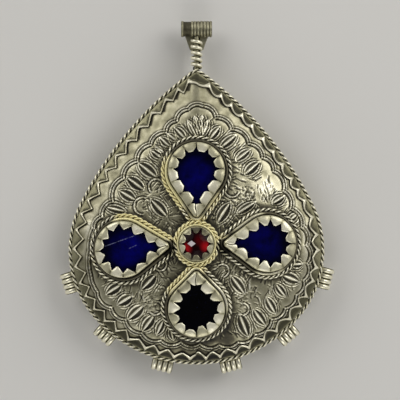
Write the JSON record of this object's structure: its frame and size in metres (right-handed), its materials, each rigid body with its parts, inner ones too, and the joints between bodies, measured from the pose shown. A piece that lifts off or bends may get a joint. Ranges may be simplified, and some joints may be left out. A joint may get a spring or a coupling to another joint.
{
  "type": "amulet box",
  "caption": "Domed teardrop amulet box of chased silver with bezel-set stones, twisted-wire rim, hanging bail, edge loops and a pull-off back over a paper scroll.",
  "frame": {"origin": "on the outside of the back, straight behind the middle of the centre stone", "axes": "+Z out of the front face, +Y from the foot to the bail, +X to the viewer's right"},
  "size_m": [0.0749, 0.0962, 0.0203],
  "materials": {
    "chased_silver": "chased, darkened in the hollows",
    "border_silver": "hand-cut strip, satin",
    "wall_silver": "satin with tarnish",
    "back_silver": "worn satin",
    "twisted_silver": "twisted wire, worn bright",
    "bezel_silver": "bright teeth",
    "bail_silver": "worn bright",
    "gilt_rope": "worn gilding on twisted wire",
    "blue_stone": "polished",
    "black_stone": "polished",
    "garnet": "faceted, polished",
    "lac": "dull resin",
    "paper": "handmade paper",
    "ribbon": "woven cotton"
  },
  "bodies": {
    "back": {"back_plate": "back_silver", "back_collar": "back_silver", "prayer_scroll": "paper", "scroll_tie": "ribbon"},
    "cover": {"bail_band": "bail_silver", "bottom_bedding": "lac", "bottom_bezel": "bezel_silver", "bottom_rope_wire": "gilt_rope", "bottom_stone": "black_stone", "centre_bedding": "lac", "centre_bezel": "bezel_silver", "centre_garnet": "garnet", "centre_rope_ring": "gilt_rope", "front_dome": "chased_silver", "left_bedding": "lac", "left_bezel": "bezel_silver", "left_rope_wire": "gilt_rope", "left_stone": "blue_stone", "loop_bottom_left": "bail_silver", "loop_bottom_right": "bail_silver", "loop_lower_left": "bail_silver", "loop_lower_right": "bail_silver", "loop_side_left": "bail_silver", "loop_side_right": "bail_silver", "right_bedding": "lac", "right_bezel": "bezel_silver", "right_rope_wire": "gilt_rope", "right_stone": "blue_stone", "rim_wire": "twisted_silver", "side_wall": "wall_silver", "stem_coil": "bail_silver", "stem_post": "bail_silver", "toothed_border": "border_silver", "top_bedding": "lac", "top_bezel": "bezel_silver", "top_rope_wire": "gilt_rope", "top_stone": "blue_stone"}
  },
  "joints": [
    {"name": "cover_lift", "type": "slide", "parent": "back", "child": "cover", "axis": [0, 0, 1], "range_m": [0, 0.025]}
  ]
}
